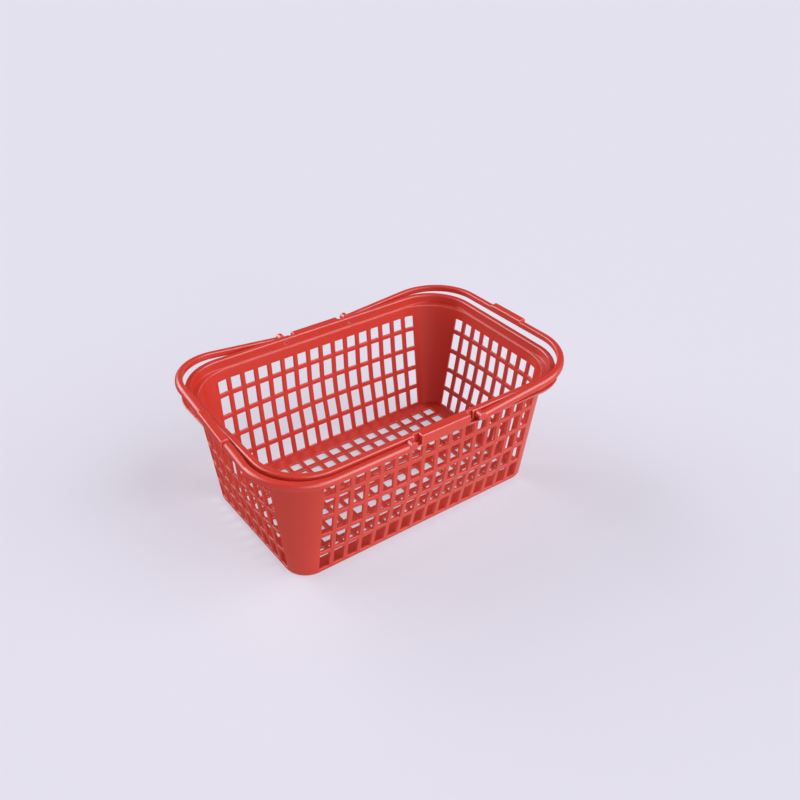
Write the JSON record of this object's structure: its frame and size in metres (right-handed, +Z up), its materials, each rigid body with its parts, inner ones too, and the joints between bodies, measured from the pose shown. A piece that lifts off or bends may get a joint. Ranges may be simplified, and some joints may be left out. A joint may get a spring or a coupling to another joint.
{
  "type": "plastic picking basket",
  "caption": "Small rectangular lattice basket with leaning walls, plain rounded corners, a stepped rim and a swing handle at each end, for picking and carrying produce.",
  "frame": {"origin": "middle of the overall box in plan, at the height of the flat underside that stands on the table", "axes": "+X along the long side towards the right handle, +Y across the basket away from the side seen in the picture, +Z up"},
  "size_m": [0.2544, 0.1656, 0.1059],
  "materials": {
    "basket_red": "satin moulded red plastic",
    "handle_red": "satin moulded red plastic"
  },
  "bodies": {
    "basket": {"rim": "basket_red", "wall_front": "basket_red", "wall_back": "basket_red", "wall_left": "basket_red", "wall_right": "basket_red", "corner_front_left": "basket_red", "corner_front_right": "basket_red", "corner_back_left": "basket_red", "corner_back_right": "basket_red", "floor": "basket_red"},
    "left_handle": {"left_arm_front": "handle_red", "left_arm_back": "handle_red", "left_bend_front": "handle_red", "left_bend_back": "handle_red", "left_grip": "handle_red", "left_pin_front": "handle_red", "left_pin_back": "handle_red"},
    "right_handle": {"right_arm_front": "handle_red", "right_arm_back": "handle_red", "right_bend_front": "handle_red", "right_bend_back": "handle_red", "right_grip": "handle_red", "right_pin_front": "handle_red", "right_pin_back": "handle_red"}
  },
  "joints": [
    {"name": "left_handle_swing", "type": "hinge", "parent": "basket", "child": "left_handle", "pos_m": [-0.0283, 0, 0.0938], "axis": [0, 1, 0], "range_deg": [-0.05, 100]},
    {"name": "right_handle_swing", "type": "hinge", "parent": "basket", "child": "right_handle", "pos_m": [0.0283, 0, 0.0938], "axis": [0, -1, 0], "range_deg": [-4.85, 98]}
  ]
}
